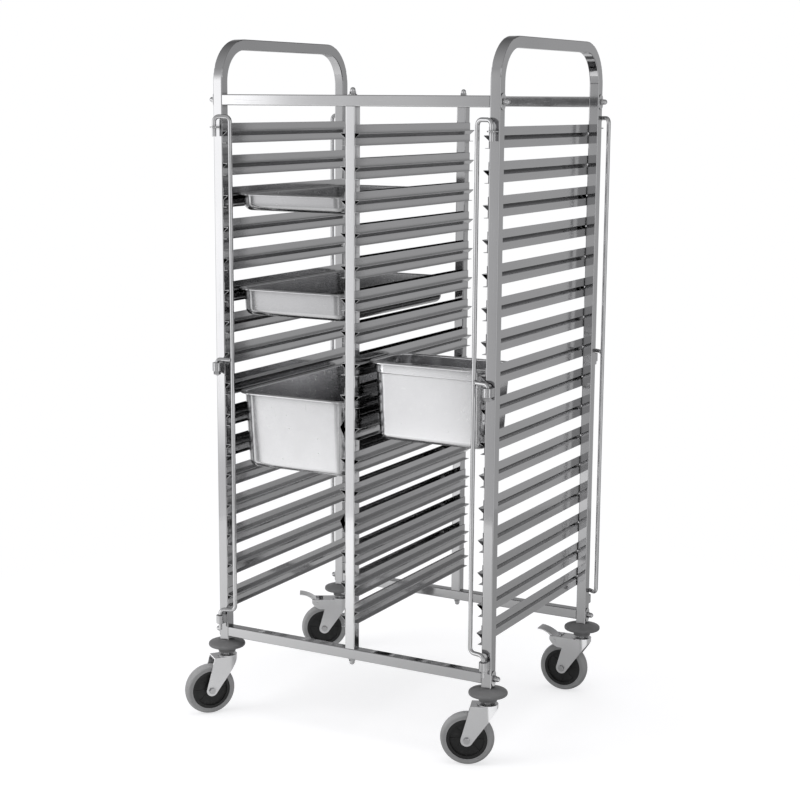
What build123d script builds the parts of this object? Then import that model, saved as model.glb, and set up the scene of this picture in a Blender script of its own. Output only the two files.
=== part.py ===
from build123d import *
import os
from math import atan2, cos, degrees, hypot, radians, sin

# Tray trolley in millimetres: +Z up, floor at Z 0, front towards -Y, origin on the floor below its centre

# Pans
pan_rim_length = 530.0
short_rim_length = 176.0
short_pan_setback = 28.0
pan_rim_width = 325.0
pan_rim_corner = 50.0
pan_rim_drop = 3.5
pan_sheet = 1.0
pan_body_corner = 42.0
pan_floor_radius = 16.0
pan_taper = 3.5
pan_side_gap = 2.55
pan_end_gap = 25.0
pan_body_gap = 2.25
pan_rest_gap = 0.1
shallow_depth = 40.0
medium_depth = 65.0
deep_depth = 185.0
shoulder_depth = 26.0
shoulder_step = 4.0

# Level of each pan, counted from the top, on the left and right columns
shallow_level = 3
medium_level = 6
deep_level = 9
shouldered_level = 8

# Square tube frame
tube_side = 25.0
tube_wall = 1.5
tube_corner = 2.5
handle_bend = 100.0
handle_rise = 128.0
bottom_rail_lift = 10.0
top_rail_lift = 59.0

# Folded runners
runner_levels = 16
runner_pitch = 74.6
left_lowest_pitch = 79.0
right_lowest_pitch = 66.0
second_ledge_lift = 159.6
runner_sheet = 1.2
ledge_width = 13.0
flange_rise = 18.0
vee_drop = 11.0
runner_drop = 28.5
lip_width = 10.0

# Bolted joints of the frame
bolt_diameter = 8.0
bolt_clearance = 0.3
bolt_grip = 12.0
plug_floor = 5.0
plug_gap = 0.1
washer_thickness = 2.0
oval_washer_height = 36.0
oval_washer_width = 22.0
round_washer_diameter = 20.0
dome_nut_width = 13.0
dome_nut_base = 6.0
dome_nut_height = 15.0
dome_bore_depth = 9.0

# Retaining bars and their bearings
bar_diameter = 10.0
bar_bend = 12.0
bar_reach = 38.0
bar_clearance = 1.0
pin_standoff = 15.0
hook_rise = 23.0
pin_tail = 20.0
tab_drop = 52.0
tab_thickness = 3.0
tab_width = 20.0
arm_diameter = 9.0
arm_bend = 8.0
middle_bush_lift = 658.0
middle_bush_width = 22.0
bush_height = 20.0
stud_diameter = 7.0
bar_nut_width = 15.0
bar_nut_height = 9.0
stud_tail = 2.0
bottom_bush_lift = 32.0
bottom_bush_width = 20.0
journal_diameter = 8.0
journal_tail = 17.0
crank_clearance = 3.0
back_left_opening = 16.0
back_right_opening = 33.0

# Running fits of everything that turns
fit_gap = 0.05
run_gap = 0.1

# Casters
wheel_diameter = 125.0
tread_width = 30.0
tyre_depth = 15.0
tread_crown = 3.0
shoulder_width = 3.0
tyre_seat_gap = 0.05
hub_rim = 7.0
hub_face_inset = 1.0
hub_web_inset = 5.0
hub_rib_height = 1.5
hub_rib_width = 2.0
hub_ribs = 8
boss_diameter = 26.0
axle_diameter = 8.0
axle_head_height = 5.0
axle_nut_height = 6.5
axle_tail = 1.5
axle_hex = 13.0
caster_trail = 46.0
fork_sheet = 3.0
fork_wheel_gap = 4.0
crown_gap = 16.0
crown_radius = 24.0
crown_back = 38.0
crown_skirt = 6.0
crown_bead = 8.5
crown_bead_height = 2.5
crease_back = 24.0
leg_radius = 14.0
king_pin_diameter = 14.0
king_cap_diameter = 22.0
king_cap_height = 5.0
race_diameter = 28.0
race_height = 2.9
neck_diameter = 18.0
neck_height = 6.0
stem_diameter = 12.0
stem_grip = 14.0
plug_bolt_gap = 2.2

# Corner bumpers
bumper_diameter = 90.0
bumper_height = 32.0
bumper_disc_height = 17.0
bumper_rim_height = 9.0
bumper_rim_round = 3.0
bumper_hub_diameter = 42.0

# Foot brakes of the back casters
brake_pivot_back = 20.0
brake_pivot_drop = 10.0
brake_pin_diameter = 6.0
brake_pin_tail = 0.8
brake_boss_diameter = 12.0
brake_side_gap = 0.5
brake_travel = 18.0
brake_shoe_gap = 0.4
brake_arm_length = 34.0
brake_arm_depth = 9.0
brake_arm_sweep = 18.0
brake_slot_start = 50.0
pedal_sheet = 3.5
pedal_length = 48.0
pedal_rise = 26.0
pedal_bulge = 5.0

# Direction in which each caster trails, in degrees from +X
heading_front_left = 232.0
heading_front_right = 202.0
heading_back_left = 211.0
heading_back_right = 183.0

# Plan of the frame
column_width = pan_rim_width + 2 * (pan_side_gap + runner_sheet)
frame_width = 2 * column_width + 3 * tube_side
frame_depth = pan_rim_length + 2 * pan_end_gap
column_x = (column_width + tube_side) / 2
post_x = (frame_width - tube_side) / 2
post_y = (frame_depth - tube_side) / 2
post_inner_x = post_x - tube_side / 2
tube_bore = tube_side - 2 * tube_wall
tube_bore_corner = max(tube_corner - tube_wall, 0.2)

# Heights, from the floor up
wheel_radius = wheel_diameter / 2
crown_under = wheel_diameter + crown_gap
crown_top = crown_under + fork_sheet
race_z = crown_top + run_gap
bumper_z = race_z + race_height + neck_height
post_foot = bumper_z + bumper_height
bottom_rail_z = post_foot + bottom_rail_lift + tube_side / 2
bottom_rail_top = bottom_rail_z + tube_side / 2
second_ledge = bottom_rail_top + second_ledge_lift
upper_ledges = [second_ledge + runner_pitch * step for step in range(runner_levels - 2, -1, -1)]
ledges = {
    "left": [*upper_ledges, second_ledge - left_lowest_pitch],
    "right": [*upper_ledges, second_ledge - right_lowest_pitch],
}
top_rail_under = upper_ledges[0] + top_rail_lift
top_rail_z = top_rail_under + tube_side / 2
handle_top = top_rail_under + tube_side + handle_rise
handle_z = handle_top - tube_side / 2
tab_z = top_rail_under - tab_drop
hook_z = tab_z + tab_thickness + hook_rise
middle_bush_top = bottom_rail_top + middle_bush_lift
arm_z = middle_bush_top + arm_bend
bottom_bush_top = bottom_rail_top + bottom_bush_lift
crank_z = bottom_bush_top + bar_bend + crank_clearance

# Fits worked out from both sides
bolt_hole = bolt_diameter + 2 * bolt_clearance
plug_side = tube_bore - 2 * plug_gap
plug_length = bolt_grip + plug_floor
bolt_length = bolt_grip + tube_side + washer_thickness + dome_bore_depth
caster_plug_height = bottom_rail_lift + (tube_side - bolt_hole) / 2 - plug_bolt_gap
fork_half = tread_width / 2 + fork_wheel_gap + fork_sheet
fork_bore_half = fork_half - fork_sheet
fork_reach = caster_trail + brake_pivot_back + brake_arm_length + leg_radius
hub_radius = wheel_radius - tyre_depth
bar_setback = pin_standoff - bar_diameter / 2 - bar_clearance
bar_arm = hypot(bar_reach, bar_setback)
bar_closed = degrees(atan2(bar_setback, bar_reach))
pin_y = frame_depth / 2 + pin_standoff
pan_body_width = column_width - 2 * (ledge_width + pan_body_gap)
pan_rim_flange = (pan_rim_width - pan_body_width) / 2
short_pan_y = short_pan_setback + (short_rim_length - frame_depth) / 2
brake_pivot_u = caster_trail + brake_pivot_back
brake_pivot_z = crown_top - brake_pivot_drop
pedal_half = fork_bore_half - brake_side_gap

rail_heights = (bottom_rail_z, top_rail_z)
sides = {"left": -1, "right": 1}
faces = {"front": -1, "back": 1}
corners = {f"{face}_{side}": (sx, sy) for face, sy in faces.items() for side, sx in sides.items()}
headings = {
    "front_left": heading_front_left,
    "front_right": heading_front_right,
    "back_left": heading_back_left,
    "back_right": heading_back_right,
}
openings = {
    "front_left": None,
    "front_right": None,
    "back_left": back_left_opening,
    "back_right": back_right_opening,
}

os.makedirs("parts", exist_ok=True)


def save(part, name):
    """Label a finished piece and write it under its own name."""
    part.label = name
    export_step(part, f"parts/{name}.step")


def tube_section():
    """Square tube with rounded corners, drawn in the sketch that is open."""
    RectangleRounded(tube_side, tube_side, tube_corner)
    RectangleRounded(tube_bore, tube_bore, tube_bore_corner, mode=Mode.SUBTRACT)


def end_frame(sx):
    """One tube bent to an inverted U: two posts and the handle between them."""
    x = sx * post_x
    with BuildPart() as frame:
        with BuildLine(Plane.YZ.offset(x)):
            FilletPolyline(
                (-post_y, post_foot),
                (-post_y, handle_z),
                (post_y, handle_z),
                (post_y, post_foot),
                radius=handle_bend - tube_side / 2,
            )
        with BuildSketch(Plane((x, -post_y, post_foot))):
            tube_section()
        sweep()
        with BuildSketch(Plane.YZ.offset(x)):
            with Locations(*[(y, z) for y in (-post_y, post_y) for z in rail_heights]):
                Circle(bolt_hole / 2)
        extrude(amount=tube_side, both=True, mode=Mode.SUBTRACT)
    return frame.part


def rail(sy, z):
    """Cross tube between the end frames, drilled for the centre post's bolt."""
    with BuildPart() as tube:
        with BuildSketch(Plane((0, sy * post_y, z), x_dir=(0, 1, 0), z_dir=(1, 0, 0))):
            tube_section()
        extrude(amount=post_inner_x, both=True)
        with BuildSketch(Plane((0, sy * post_y, z))):
            Circle(bolt_hole / 2)
        extrude(amount=tube_side, both=True, mode=Mode.SUBTRACT)
    return tube.part


def centre_post(sy):
    """Upright tube between the bottom and top rails."""
    with BuildPart() as tube:
        with BuildSketch(Plane((0, sy * post_y, bottom_rail_top))):
            tube_section()
        extrude(amount=top_rail_under - bottom_rail_top)
    return tube.part


def runner_set(wall_x, sx, ledges):
    """All runners on one side of a column: flange, ledge, vee, lower flange and lip from one folded sheet."""
    room_side = Side.LEFT if sx > 0 else Side.RIGHT
    with BuildPart() as runners:
        with BuildSketch(Plane.XZ):
            for ledge in ledges:
                with BuildLine():
                    back = Polyline(
                        (wall_x, ledge + flange_rise),
                        (wall_x, ledge - runner_sheet),
                        (wall_x + sx * (ledge_width - runner_sheet), ledge - runner_sheet),
                        (wall_x, ledge - vee_drop),
                        (wall_x, ledge - runner_drop),
                        (wall_x + sx * lip_width, ledge - runner_drop),
                    )
                    offset(back, amount=runner_sheet, side=room_side, closed=True)
                make_face()
        extrude(amount=frame_depth / 2, both=True)
    return runners.part


def bolt_seats():
    """Plane of each bolted joint on the face under its washer, looking outwards along the bolt."""
    posts = [
        Plane((sx * frame_width / 2, sy * post_y, z), x_dir=(0, 1, 0), z_dir=(sx, 0, 0))
        for sx in sides.values()
        for sy in faces.values()
        for z in rail_heights
    ]
    rails = [
        Plane((0, sy * post_y, z + sz * tube_side / 2), x_dir=(1, 0, 0), z_dir=(0, 0, sz))
        for sy in faces.values()
        for z, sz in ((bottom_rail_z, -1), (top_rail_z, 1))
    ]
    return posts, rails


def threaded_plugs(seats):
    """Square plugs inside the ends of the tubes that the bolts pull up, each with a blind hole."""
    with BuildPart() as plugs:
        for seat in seats:
            mouth = seat.offset(-tube_side)
            with BuildSketch(mouth):
                RectangleRounded(plug_side, plug_side, tube_bore_corner)
            extrude(amount=-plug_length)
            with BuildSketch(mouth):
                Circle(bolt_hole / 2)
            extrude(amount=-bolt_grip, mode=Mode.SUBTRACT)
    return plugs.part


def studs(seats):
    """Studs from the floor of each plug to the floor of each dome nut."""
    with BuildPart() as rods:
        for seat in seats:
            with BuildSketch(seat.offset(-tube_side - bolt_grip)):
                Circle(bolt_diameter / 2)
            extrude(amount=bolt_length)
    return rods.part


def oval_washers(seats):
    """Upright plates with round ends under the nuts of the end posts."""
    with BuildPart() as plates:
        for seat in seats:
            with BuildSketch(seat):
                SlotOverall(oval_washer_height, oval_washer_width, rotation=90)
                Circle(bolt_hole / 2, mode=Mode.SUBTRACT)
            extrude(amount=washer_thickness)
    return plates.part


def round_washers(seats):
    """Plain washers under the nuts of the centre posts."""
    with BuildPart() as discs:
        for seat in seats:
            with BuildSketch(seat):
                Circle(round_washer_diameter / 2)
                Circle(bolt_hole / 2, mode=Mode.SUBTRACT)
            extrude(amount=washer_thickness)
    return discs.part


def dome_nuts(seats):
    """Hexagon nuts closed by a dome, with a blind bore."""
    dome_radius = dome_nut_width / 2 - bolt_clearance
    dome_start = dome_nut_height - dome_radius
    with BuildPart() as nuts:
        for seat in seats:
            base = seat.offset(washer_thickness)
            with BuildSketch(base):
                RegularPolygon(dome_nut_width / 2, 6, major_radius=False)
            extrude(amount=dome_nut_base)
            with BuildSketch(base):
                Circle(dome_radius)
            extrude(amount=dome_start)
            with Locations(base.offset(dome_start)):
                Sphere(dome_radius, arc_size1=0)
            with BuildSketch(base):
                Circle(bolt_hole / 2)
            extrude(amount=dome_bore_depth, mode=Mode.SUBTRACT)
    return nuts.part


def bearing_plates(top, height, width, hole):
    """Four plates or blocks on the posts, rounded about the pin axis of a retaining bar and bored for it."""
    with BuildPart() as plates:
        with BuildSketch(Plane.XY.offset(top)):
            for sx, sy in corners.values():
                with Locations((sx * post_x, sy * (frame_depth + pin_standoff) / 2)):
                    Rectangle(width, pin_standoff)
                with Locations((sx * post_x, sy * pin_y)):
                    Circle(width / 2)
                    Circle(hole / 2 + fit_gap, mode=Mode.SUBTRACT)
        extrude(amount=-height)
    return plates.part


def bar_offset(sx, sy, opening):
    """Way from a bar's pin axis to its rod: closed over the runners, or turned past the post's side."""
    angle = radians(bar_closed if opening is None else opening)
    turn = -sx if opening is None else sx
    return turn * bar_arm * cos(angle), -sy * bar_arm * sin(angle)


def retaining_bar(sx, sy, opening):
    """Bent rod: hook and top pin, long run, crank and lower journal, with a welded arm to the middle bush."""
    pin = (sx * post_x, sy * pin_y)
    away = bar_offset(sx, sy, opening)
    rod = (pin[0] + away[0], pin[1] + away[1])
    shoulder_z = bottom_bush_top + run_gap
    stud_z = middle_bush_top - bush_height - run_gap
    with BuildPart() as bar:
        with BuildLine():
            FilletPolyline(
                (*pin, tab_z - pin_tail),
                (*pin, hook_z),
                (*rod, hook_z),
                (*rod, crank_z),
                (*pin, crank_z),
                (*pin, shoulder_z),
                radius=bar_bend,
            )
        with BuildSketch(Plane((*pin, tab_z - pin_tail))):
            Circle(bar_diameter / 2)
        sweep()
        with BuildSketch(Plane((*pin, shoulder_z))):
            Circle(journal_diameter / 2)
        extrude(amount=-(run_gap + bush_height + journal_tail))
        with BuildLine():
            FilletPolyline((*rod, arm_z), (*pin, arm_z), (*pin, stud_z), radius=arm_bend)
        with BuildSketch(Plane((*rod, arm_z), z_dir=(-away[0], -away[1], 0))):
            Circle(arm_diameter / 2)
        sweep()
        with BuildSketch(Plane((*pin, stud_z))):
            Circle(stud_diameter / 2)
        extrude(amount=-(bar_nut_height + stud_tail))
    return bar.part


def bar_nut(sx, sy):
    """Hexagon nut on the stud under a middle bush, against the shoulder of the arm's pin."""
    with BuildPart() as nut:
        with BuildSketch(Plane((sx * post_x, sy * pin_y, middle_bush_top - bush_height - run_gap))):
            RegularPolygon(bar_nut_width / 2, 6, major_radius=False)
            Circle(stud_diameter / 2 + bolt_clearance, mode=Mode.SUBTRACT)
        extrude(amount=-bar_nut_height)
    return nut.part


def caster_plugs():
    """Square plugs inside the post feet, bored for the caster stems."""
    with BuildPart() as plugs:
        with BuildSketch(Plane.XY.offset(post_foot)):
            with Locations(*[(sx * post_x, sy * post_y) for sx, sy in corners.values()]):
                RectangleRounded(plug_side, plug_side, tube_bore_corner)
                Circle(stem_diameter / 2 + bolt_clearance, mode=Mode.SUBTRACT)
        extrude(amount=caster_plug_height)
    return plugs.part


def upright_profile(sx, sy):
    """Plane through a post's axis in which a round piece under it is drawn: radius across, height up."""
    return Plane((sx * post_x, sy * post_y, 0), x_dir=(1, 0, 0), z_dir=(0, -1, 0))


def corner_bumpers():
    """Discs with a coned top, a rounded rim and a hub below, bored for the caster stems."""
    bore = stem_diameter / 2 + bolt_clearance
    edge = bumper_diameter / 2
    hub = bumper_hub_diameter / 2
    seat = hypot(tube_side, tube_side) / 2
    rim_low = post_foot - bumper_disc_height
    rim_high = rim_low + bumper_rim_height
    with BuildPart() as discs:
        for sx, sy in corners.values():
            profile = upright_profile(sx, sy)
            with BuildSketch(profile):
                with BuildLine():
                    Polyline((edge, rim_high - bumper_rim_round), (edge - bumper_rim_round, rim_high),
                             (seat, post_foot), (bore, post_foot), (bore, bumper_z), (hub, bumper_z),
                             (hub, rim_low), (edge - bumper_rim_round, rim_low),
                             (edge, rim_low + bumper_rim_round), close=True)
                make_face()
            revolve(axis=Axis(profile.origin, (0, 0, 1)))
    return discs.part


def caster_heads():
    """Stem, neck, race and king pin with its cap, which the fork hangs on, turned from one bar."""
    stem_top = post_foot + stem_grip
    race_top = race_z + race_height
    cap_top = crown_under - run_gap
    with BuildPart() as heads:
        for sx, sy in corners.values():
            profile = upright_profile(sx, sy)
            with BuildSketch(profile):
                with BuildLine():
                    Polyline((0, stem_top), (stem_diameter / 2, stem_top), (stem_diameter / 2, bumper_z),
                             (neck_diameter / 2, bumper_z), (neck_diameter / 2, race_top),
                             (race_diameter / 2, race_top), (race_diameter / 2, race_z),
                             (king_pin_diameter / 2, race_z), (king_pin_diameter / 2, cap_top),
                             (king_cap_diameter / 2, cap_top),
                             (king_cap_diameter / 2, cap_top - king_cap_height),
                             (0, cap_top - king_cap_height), close=True)
                make_face()
            revolve(axis=Axis(profile.origin, (0, 0, 1)))
    return heads.part


class Caster:
    """Place and direction of one caster, with the planes that its pieces are drawn on."""

    def __init__(self, corner):
        sx, sy = corners[corner]
        turn = radians(headings[corner])
        self.trail = Vector(cos(turn), sin(turn), 0)
        self.across = Vector(sin(turn), -cos(turn), 0)
        self.axis = Vector(sx * post_x, sy * post_y, 0)
        self.centre = self.axis + self.trail * caster_trail + Vector(0, 0, wheel_radius)
        self.side = Plane(self.axis, x_dir=self.trail, z_dir=self.across)
        self.wheel = Plane(self.centre, x_dir=self.trail, z_dir=self.across)
        self.section = Plane(self.centre, x_dir=self.across, z_dir=-self.trail)
        self.axle = Axis(self.centre, self.across)

    def plan(self, z):
        """Level plane with its X along the trail."""
        return Plane(self.axis + Vector(0, 0, z), x_dir=self.trail, z_dir=(0, 0, 1))


def fork_plan(inset):
    """Outline of a fork from above: round crown in front, flat legs behind the creases."""
    radius = crown_radius - inset
    half = fork_half - inset
    with BuildSketch() as outline:
        with BuildLine():
            ThreePointArc((0, radius), (-radius, 0), (0, -radius))
            Polyline((0, -radius), (crease_back, -half), (fork_reach, -half), (fork_reach, half),
                     (crease_back, half), (0, radius))
        make_face()
    return outline.sketch


def fork_side(braked):
    """Outline of a fork from the side: crown above, legs narrowing to the axle, and the arms of a brake."""
    arm_end = caster_trail + brake_arm_length
    arm_root = caster_trail + leg_radius - fork_sheet
    arm_front = caster_trail - leg_radius
    arm_under = crown_top - brake_arm_depth
    leg_under = arm_under - brake_arm_sweep
    with BuildSketch() as outline:
        with BuildLine():
            CenterArc((caster_trail, wheel_radius), leg_radius, 0, 360)
            Polyline((-crown_radius, crown_top - crown_skirt), (-crown_radius, crown_top),
                     (crown_back, crown_top))
        make_hull()
        if braked:
            with BuildLine():
                Polyline((arm_root, leg_under), (arm_front, leg_under), (arm_front, crown_top),
                         (arm_end, crown_top), (arm_end, arm_under))
                RadiusArc((arm_end, arm_under), (arm_root, leg_under), brake_arm_length)
            make_face()
    return outline.sketch


def fork(caster, braked):
    """Pressed fork: crown with a raised bead, two creased legs, and open arms behind where it has a brake."""
    with BuildPart() as body:
        with BuildSketch(caster.plan(0)):
            add(fork_plan(0))
        extrude(amount=crown_top)
        with BuildSketch(caster.side):
            add(fork_side(braked))
        extrude(amount=crown_radius, both=True, mode=Mode.INTERSECT)
        with BuildSketch(caster.plan(0)):
            add(fork_plan(fork_sheet))
        extrude(amount=crown_under, mode=Mode.SUBTRACT)
        with BuildSketch(caster.plan(crown_top)):
            Circle(crown_radius)
            Circle(crown_radius - crown_bead, mode=Mode.SUBTRACT)
        extrude(amount=crown_bead_height)
        with BuildSketch(caster.plan(crown_under)):
            Circle(king_pin_diameter / 2 + fit_gap)
        extrude(amount=fork_sheet, mode=Mode.SUBTRACT)
        with BuildSketch(caster.wheel):
            Circle(axle_diameter / 2 + bolt_clearance)
        extrude(amount=fork_half, both=True, mode=Mode.SUBTRACT)
        if braked:
            with BuildSketch(caster.plan(crown_under)):
                with Locations(((brake_slot_start + fork_reach) / 2, 0)):
                    Rectangle(fork_reach - brake_slot_start, 2 * fork_bore_half)
            extrude(amount=fork_sheet, mode=Mode.SUBTRACT)
            with BuildSketch(caster.side):
                with Locations((brake_pivot_u, brake_pivot_z)):
                    Circle(brake_pin_diameter / 2 + fit_gap)
            extrude(amount=fork_half, both=True, mode=Mode.SUBTRACT)
    return body.part


def axle_bolt(caster):
    """Hexagon bolt through the legs and the wheel's boss."""
    head = caster.wheel.offset(-fork_half)
    with BuildPart() as bolt:
        with BuildSketch(head):
            RegularPolygon(axle_hex / 2, 6, major_radius=False)
        extrude(amount=-axle_head_height)
        with BuildSketch(head):
            Circle(axle_diameter / 2)
        extrude(amount=2 * fork_half + axle_nut_height + axle_tail)
    return bolt.part


def axle_nut(caster):
    """Hexagon nut against the far leg."""
    with BuildPart() as nut:
        with BuildSketch(caster.wheel.offset(fork_half)):
            RegularPolygon(axle_hex / 2, 6, major_radius=False)
            Circle(axle_diameter / 2 + bolt_clearance, mode=Mode.SUBTRACT)
        extrude(amount=axle_nut_height)
    return nut.part


def tyre(caster):
    """Solid tyre with straight sides, bevelled shoulders and a slightly crowned tread."""
    half = tread_width / 2
    shoulder = wheel_radius - tread_crown
    with BuildPart() as ring:
        with BuildSketch(caster.section):
            with BuildLine():
                Polyline((half - shoulder_width, shoulder), (half, shoulder - shoulder_width),
                         (half, hub_radius), (-half, hub_radius), (-half, shoulder - shoulder_width),
                         (shoulder_width - half, shoulder))
                ThreePointArc((shoulder_width - half, shoulder), (0, wheel_radius),
                              (half - shoulder_width, shoulder))
            make_face()
        revolve(axis=caster.axle)
    return ring.part


def hub(caster):
    """Wheel centre: rim under the tyre, dished web with low radial ribs, and a boss bored for the axle."""
    outer = hub_radius - tyre_seat_gap
    bore = axle_diameter / 2 + fit_gap
    boss = boss_diameter / 2
    boss_half = fork_bore_half - run_gap
    rim_half = tread_width / 2 - hub_face_inset
    web_half = rim_half - hub_web_inset
    well = outer - hub_rim
    with BuildPart() as wheel:
        with BuildSketch(caster.section):
            with BuildLine():
                Polyline((boss_half, bore), (boss_half, boss), (web_half, boss), (web_half, well),
                         (rim_half, well), (rim_half, outer), (-rim_half, outer), (-rim_half, well),
                         (-web_half, well), (-web_half, boss), (-boss_half, boss), (-boss_half, bore),
                         close=True)
            make_face()
        revolve(axis=caster.axle)
        with BuildSketch(caster.wheel):
            with PolarLocations((boss + well) / 2, hub_ribs):
                Rectangle(well - boss + hub_rib_width, hub_rib_width)
        extrude(amount=web_half + hub_rib_height, both=True)
    return wheel.part


def brake_pedal(caster):
    """Curved pedal on a cross pin in the fork's arms, with a shoe that comes down on the tyre."""
    u, z = brake_pivot_u, brake_pivot_z
    root = brake_boss_diameter / 2
    to_wheel = Vector(caster_trail - u, wheel_radius - z)
    shoe_reach = to_wheel.length - wheel_radius - brake_shoe_gap
    shoe_turn = atan2(to_wheel.Y, to_wheel.X) + radians(brake_travel)
    shoe = (u + shoe_reach * cos(shoe_turn), z + shoe_reach * sin(shoe_turn))
    tip = (u + pedal_length, z + pedal_rise)
    middle = ((u + tip[0]) / 2, (z + root + tip[1]) / 2 + pedal_bulge)
    with BuildPart() as pedal:
        with BuildSketch(caster.side):
            with BuildLine():
                ThreePointArc((u, z + root), middle, tip)
                Line(tip, (tip[0], tip[1] - pedal_sheet))
                ThreePointArc((tip[0], tip[1] - pedal_sheet), (middle[0], middle[1] - pedal_sheet),
                              (u + root, z))
                Polyline((u + root, z), (u, z), (u, z + root))
            make_face()
            with Locations((u, z)):
                Circle(root)
            with BuildLine():
                Polyline((u - root, z), shoe, (u + root, z), close=True)
            make_face()
        extrude(amount=pedal_half, both=True)
        with BuildSketch(caster.side):
            with Locations((u, z)):
                Circle(brake_pin_diameter / 2)
        extrude(amount=fork_half + brake_pin_tail, both=True)
    return pedal.part


def pan_tub(x, y, rim_z, depth, length, inset, shouldered):
    """Tapered tub with round corners and a round floor edge, drawn inset for its inside."""
    width = pan_body_width - 2 * inset
    length = length - 2 * (pan_rim_flange + inset)
    corner = pan_body_corner - inset
    step = shoulder_step if shouldered else 0
    with BuildPart() as tub:
        with BuildSketch(Plane((x, y, rim_z))):
            RectangleRounded(width - 2 * step, length - 2 * step, corner - step)
        extrude(amount=inset - depth, taper=pan_taper)
        fillet(tub.faces().sort_by(Axis.Z)[0].edges(), radius=pan_floor_radius - inset)
        if shouldered:
            with BuildSketch(Plane((x, y, rim_z))):
                RectangleRounded(width, length, corner)
            extrude(amount=inset - shoulder_depth)
    return tub.part


def pan(column, rim_z, depth, length=pan_rim_length, y=0, shouldered=False):
    """Food pan: thin tub under a flat rim with its edge turned down."""
    x = column * column_x
    outside = pan_tub(x, y, rim_z, depth, length, 0, shouldered)
    inside = pan_tub(x, y, rim_z, depth, length, pan_sheet, shouldered)
    with BuildPart() as body:
        add(outside)
        with BuildSketch(Plane((x, y, rim_z))):
            RectangleRounded(pan_rim_width, length, pan_rim_corner)
        extrude(amount=-pan_sheet)
        with BuildSketch(Plane((x, y, rim_z))):
            RectangleRounded(pan_rim_width, length, pan_rim_corner)
            offset(amount=-pan_sheet, mode=Mode.SUBTRACT)
        extrude(amount=-pan_rim_drop)
        add(inside, mode=Mode.SUBTRACT)
    return body.part


post_seats, rail_seats = bolt_seats()

for side, sx in sides.items():
    save(end_frame(sx), f"{side}_end_frame")
    save(runner_set(sx * post_inner_x, -sx, ledges[side]), f"{side}_runners")
    save(runner_set(sx * tube_side / 2, sx, ledges[side]), f"centre_{side}_runners")

for face, sy in faces.items():
    save(centre_post(sy), f"{face}_centre_post")
    save(rail(sy, top_rail_z), f"{face}_top_rail")
    save(rail(sy, bottom_rail_z), f"{face}_bottom_rail")

save(threaded_plugs(post_seats), "rail_end_plugs")
save(threaded_plugs(rail_seats), "centre_post_plugs")
save(studs(post_seats + rail_seats), "frame_bolts")
save(oval_washers(post_seats), "oval_washers")
save(round_washers(rail_seats), "round_washers")
save(dome_nuts(post_seats + rail_seats), "dome_nuts")
save(bearing_plates(tab_z + tab_thickness, tab_thickness, tab_width, bar_diameter), "bar_top_tabs")
save(bearing_plates(middle_bush_top, bush_height, middle_bush_width, arm_diameter), "bar_middle_bushes")
save(bearing_plates(bottom_bush_top, bush_height, bottom_bush_width, journal_diameter), "bar_bottom_bushes")
save(caster_plugs(), "caster_plugs")
save(corner_bumpers(), "corner_bumpers")
save(caster_heads(), "caster_heads")

for corner, (sx, sy) in corners.items():
    save(retaining_bar(sx, sy, openings[corner]), f"{corner}_bar")
    save(bar_nut(sx, sy), f"{corner}_bar_nut")
    caster = Caster(corner)
    save(fork(caster, braked=sy > 0), f"{corner}_fork")
    save(axle_bolt(caster), f"{corner}_axle_bolt")
    save(axle_nut(caster), f"{corner}_axle_nut")
    save(tyre(caster), f"{corner}_tyre")
    save(hub(caster), f"{corner}_hub")
    if sy > 0:
        save(brake_pedal(caster), f"{corner}_brake_pedal")

rim_rest = pan_rim_drop + pan_rest_gap
lip_top = runner_sheet - runner_drop
save(pan(-1, ledges["left"][shallow_level - 1] + rim_rest, shallow_depth), "shallow_pan")
save(pan(-1, ledges["left"][medium_level - 1] + rim_rest, medium_depth), "medium_pan")
save(pan(-1, ledges["left"][deep_level - 1] + lip_top + rim_rest, deep_depth), "deep_pan")
short_rim_z = ledges["right"][shouldered_level - 1] + rim_rest
save(pan(1, short_rim_z, deep_depth, short_rim_length, short_pan_y, shouldered=True), "shouldered_pan")
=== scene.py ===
"""Studio picture of the tray trolley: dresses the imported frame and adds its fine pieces.

Sizes are in metres and angles in degrees, unless their line says otherwise.
"""

import logging
import math
from collections.abc import Callable, Iterator, Sequence
from contextlib import contextmanager
from dataclasses import dataclass, field
from enum import Enum

import bmesh
import bpy
from mathutils import Matrix, Vector

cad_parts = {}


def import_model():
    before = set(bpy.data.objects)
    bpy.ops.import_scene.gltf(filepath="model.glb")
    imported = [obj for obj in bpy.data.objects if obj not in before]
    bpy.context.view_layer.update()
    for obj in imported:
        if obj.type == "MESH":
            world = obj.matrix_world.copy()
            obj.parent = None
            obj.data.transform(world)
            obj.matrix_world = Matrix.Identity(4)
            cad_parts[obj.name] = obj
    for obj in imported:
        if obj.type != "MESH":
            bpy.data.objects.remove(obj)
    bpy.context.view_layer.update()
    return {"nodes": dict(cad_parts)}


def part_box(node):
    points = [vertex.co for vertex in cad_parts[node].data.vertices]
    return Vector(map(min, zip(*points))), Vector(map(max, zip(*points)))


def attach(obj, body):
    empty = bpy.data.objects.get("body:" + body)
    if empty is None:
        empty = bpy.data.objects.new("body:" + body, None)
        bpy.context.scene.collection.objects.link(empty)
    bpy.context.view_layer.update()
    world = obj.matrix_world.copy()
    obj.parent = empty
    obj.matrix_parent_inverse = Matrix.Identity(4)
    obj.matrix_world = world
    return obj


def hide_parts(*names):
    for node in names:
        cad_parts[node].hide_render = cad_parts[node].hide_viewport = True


log = logging.getLogger("trolley")

Piece = bpy.types.Object
Output = bpy.types.NodeSocket
Pairs = Sequence[tuple[float, float]]

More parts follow.
